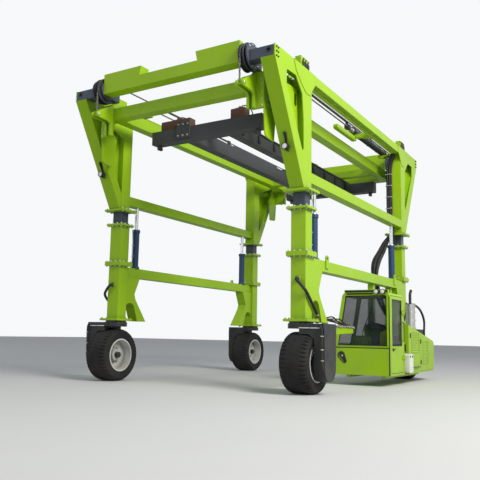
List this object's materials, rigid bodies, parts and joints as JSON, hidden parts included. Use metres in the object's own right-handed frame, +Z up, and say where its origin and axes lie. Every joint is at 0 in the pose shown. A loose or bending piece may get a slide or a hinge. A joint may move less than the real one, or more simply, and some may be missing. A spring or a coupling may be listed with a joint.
{
  "type": "straddle carrier",
  "caption": "Wheeled gantry frame that straddles a freight container, lifts it with a chain hung spreader and carries it, with side cab and steered wheels.",
  "frame": {"origin": "on the ground in the middle of the lane between the four steering axes", "axes": "+X forward, +Y to the cab side, +Z up"},
  "size_m": [7.994, 5.412, 5.72],
  "materials": {
    "lime_paint": "gloss paint",
    "navy_paint": "satin paint",
    "slate_paint": "satin paint",
    "grey_paint": "satin paint",
    "chromed_rod": "hard chromed",
    "hose_rubber": "matt hose cover",
    "cab_glazing": "clear tinted",
    "black_plastic": "moulded",
    "heat_shield": "perforated sheet",
    "seat_fabric": "woven",
    "tank_paint": "gloss paint",
    "chain_steel": "greased plates",
    "tyre_rubber": "solid tyre, worn",
    "rim_paint": "satin paint"
  },
  "bodies": {
    "left_side": {"left_frame": "lime_paint", "left_sleeves": "lime_paint", "left_lift_barrels": "navy_paint", "left_hoses": "hose_rubber", "cab_frame": "lime_paint", "cab_front_panel": "lime_paint", "cab_glass": "cab_glazing", "cab_lamps": "black_plastic", "driver_seat": "seat_fabric", "steering_console": "black_plastic", "engine_hood": "lime_paint", "engine_block": "grey_paint", "step_tank": "tank_paint", "exhaust": "heat_shield"},
    "upper": {"upper_left": "lime_paint", "upper_right": "lime_paint", "front_crossbeam": "lime_paint", "rear_crossbeam": "lime_paint", "sheave_brackets": "grey_paint", "inner_tubes": "slate_paint", "lift_rods": "chromed_rod", "hoist_barrels": "slate_paint", "hoist_chains": "chain_steel", "leg_lamps": "black_plastic"},
    "right_side": {"right_frame": "lime_paint", "right_sleeves": "lime_paint", "right_lift_barrels": "navy_paint", "right_hoses": "hose_rubber"},
    "spreader": {"head_frame": "lime_paint", "spreader_frame": "slate_paint"},
    "door": {"cab_door": "lime_paint", "door_glass": "cab_glazing"},
    "front_shaft": {"front_sheaves": "slate_paint"},
    "rear_shaft": {"rear_sheaves": "slate_paint"},
    "left_rod": {"left_hoist_rod": "chromed_rod"},
    "right_rod": {"right_hoist_rod": "chromed_rod"},
    "front_left_steer": {"front_left_fork": "slate_paint"},
    "front_left_wheel": {"front_left_tyre": "tyre_rubber", "front_left_rim": "rim_paint"},
    "front_right_steer": {"front_right_fork": "slate_paint"},
    "front_right_wheel": {"front_right_tyre": "tyre_rubber", "front_right_rim": "rim_paint"},
    "rear_left_steer": {"rear_left_fork": "slate_paint"},
    "rear_left_wheel": {"rear_left_tyre": "tyre_rubber", "rear_left_rim": "rim_paint"},
    "rear_right_steer": {"rear_right_fork": "slate_paint"},
    "rear_right_wheel": {"rear_right_tyre": "tyre_rubber", "rear_right_rim": "rim_paint"}
  },
  "joints": [
    {"name": "lift", "type": "slide", "parent": "left_side", "child": "upper", "axis": [0, 0, 1], "range_m": [-0.2, 0.5], "deforming": ["left_hoses"]},
    {"name": "right_lift", "type": "slide", "parent": "upper", "child": "right_side", "axis": [0, 0, -1], "range_m": [-0.2, 0.5]},
    {"name": "hoist", "type": "slide", "parent": "upper", "child": "spreader", "axis": [0, 0, -1], "range_m": [0, 1.9], "deforming": ["hoist_chains"]},
    {"name": "front_shaft_turn", "type": "hinge", "parent": "upper", "child": "front_shaft", "pos_m": [3.735, 0, 5.44], "axis": [0, 1, 0], "range_deg": [0, 516]},
    {"name": "rear_shaft_turn", "type": "hinge", "parent": "upper", "child": "rear_shaft", "pos_m": [-3.735, 0, 5.44], "axis": [0, -1, 0], "range_deg": [0, 516]},
    {"name": "left_rod_slide", "type": "slide", "parent": "upper", "child": "left_rod", "axis": [1, 0, 0], "range_m": [0, 1.9]},
    {"name": "right_rod_slide", "type": "slide", "parent": "upper", "child": "right_rod", "axis": [1, 0, 0], "range_m": [0, 1.9]},
    {"name": "door_swing", "type": "hinge", "parent": "left_side", "child": "door", "pos_m": [-0.545, 2.786, 1], "axis": [0, 0, 1], "range_deg": [0, 85]},
    {"name": "front_left_steer_turn", "type": "hinge", "parent": "left_side", "child": "front_left_steer", "pos_m": [2.63, 2.03, 1.13], "axis": [0, 0, 1], "range_deg": [-45, 45]},
    {"name": "front_left_roll", "type": "hinge", "parent": "front_left_steer", "child": "front_left_wheel", "pos_m": [2.63, 2.1, 0.5], "axis": [0, 1, 0], "continuous": true},
    {"name": "front_right_steer_turn", "type": "hinge", "parent": "right_side", "child": "front_right_steer", "pos_m": [2.63, -2.03, 1.13], "axis": [0, 0, 1], "range_deg": [-45, 45]},
    {"name": "front_right_roll", "type": "hinge", "parent": "front_right_steer", "child": "front_right_wheel", "pos_m": [2.63, -2.1, 0.5], "axis": [0, 1, 0], "continuous": true},
    {"name": "rear_left_steer_turn", "type": "hinge", "parent": "left_side", "child": "rear_left_steer", "pos_m": [-2.63, 2.03, 1.13], "axis": [0, 0, 1], "range_deg": [-45, 45]},
    {"name": "rear_left_roll", "type": "hinge", "parent": "rear_left_steer", "child": "rear_left_wheel", "pos_m": [-2.63, 2.1, 0.5], "axis": [0, 1, 0], "continuous": true},
    {"name": "rear_right_steer_turn", "type": "hinge", "parent": "right_side", "child": "rear_right_steer", "pos_m": [-2.63, -2.03, 1.13], "axis": [0, 0, 1], "range_deg": [-45, 45]},
    {"name": "rear_right_roll", "type": "hinge", "parent": "rear_right_steer", "child": "rear_right_wheel", "pos_m": [-2.63, -2.1, 0.5], "axis": [0, 1, 0], "continuous": true}
  ],
  "couplings": [
    {"joint": "right_lift", "follows": "lift", "ratio": 1},
    {"joint": "front_shaft_turn", "follows": "hoist", "rad_per_m": 4.717},
    {"joint": "rear_shaft_turn", "follows": "hoist", "rad_per_m": 4.717},
    {"joint": "left_rod_slide", "follows": "hoist", "ratio": 1},
    {"joint": "right_rod_slide", "follows": "hoist", "ratio": 1}
  ]
}
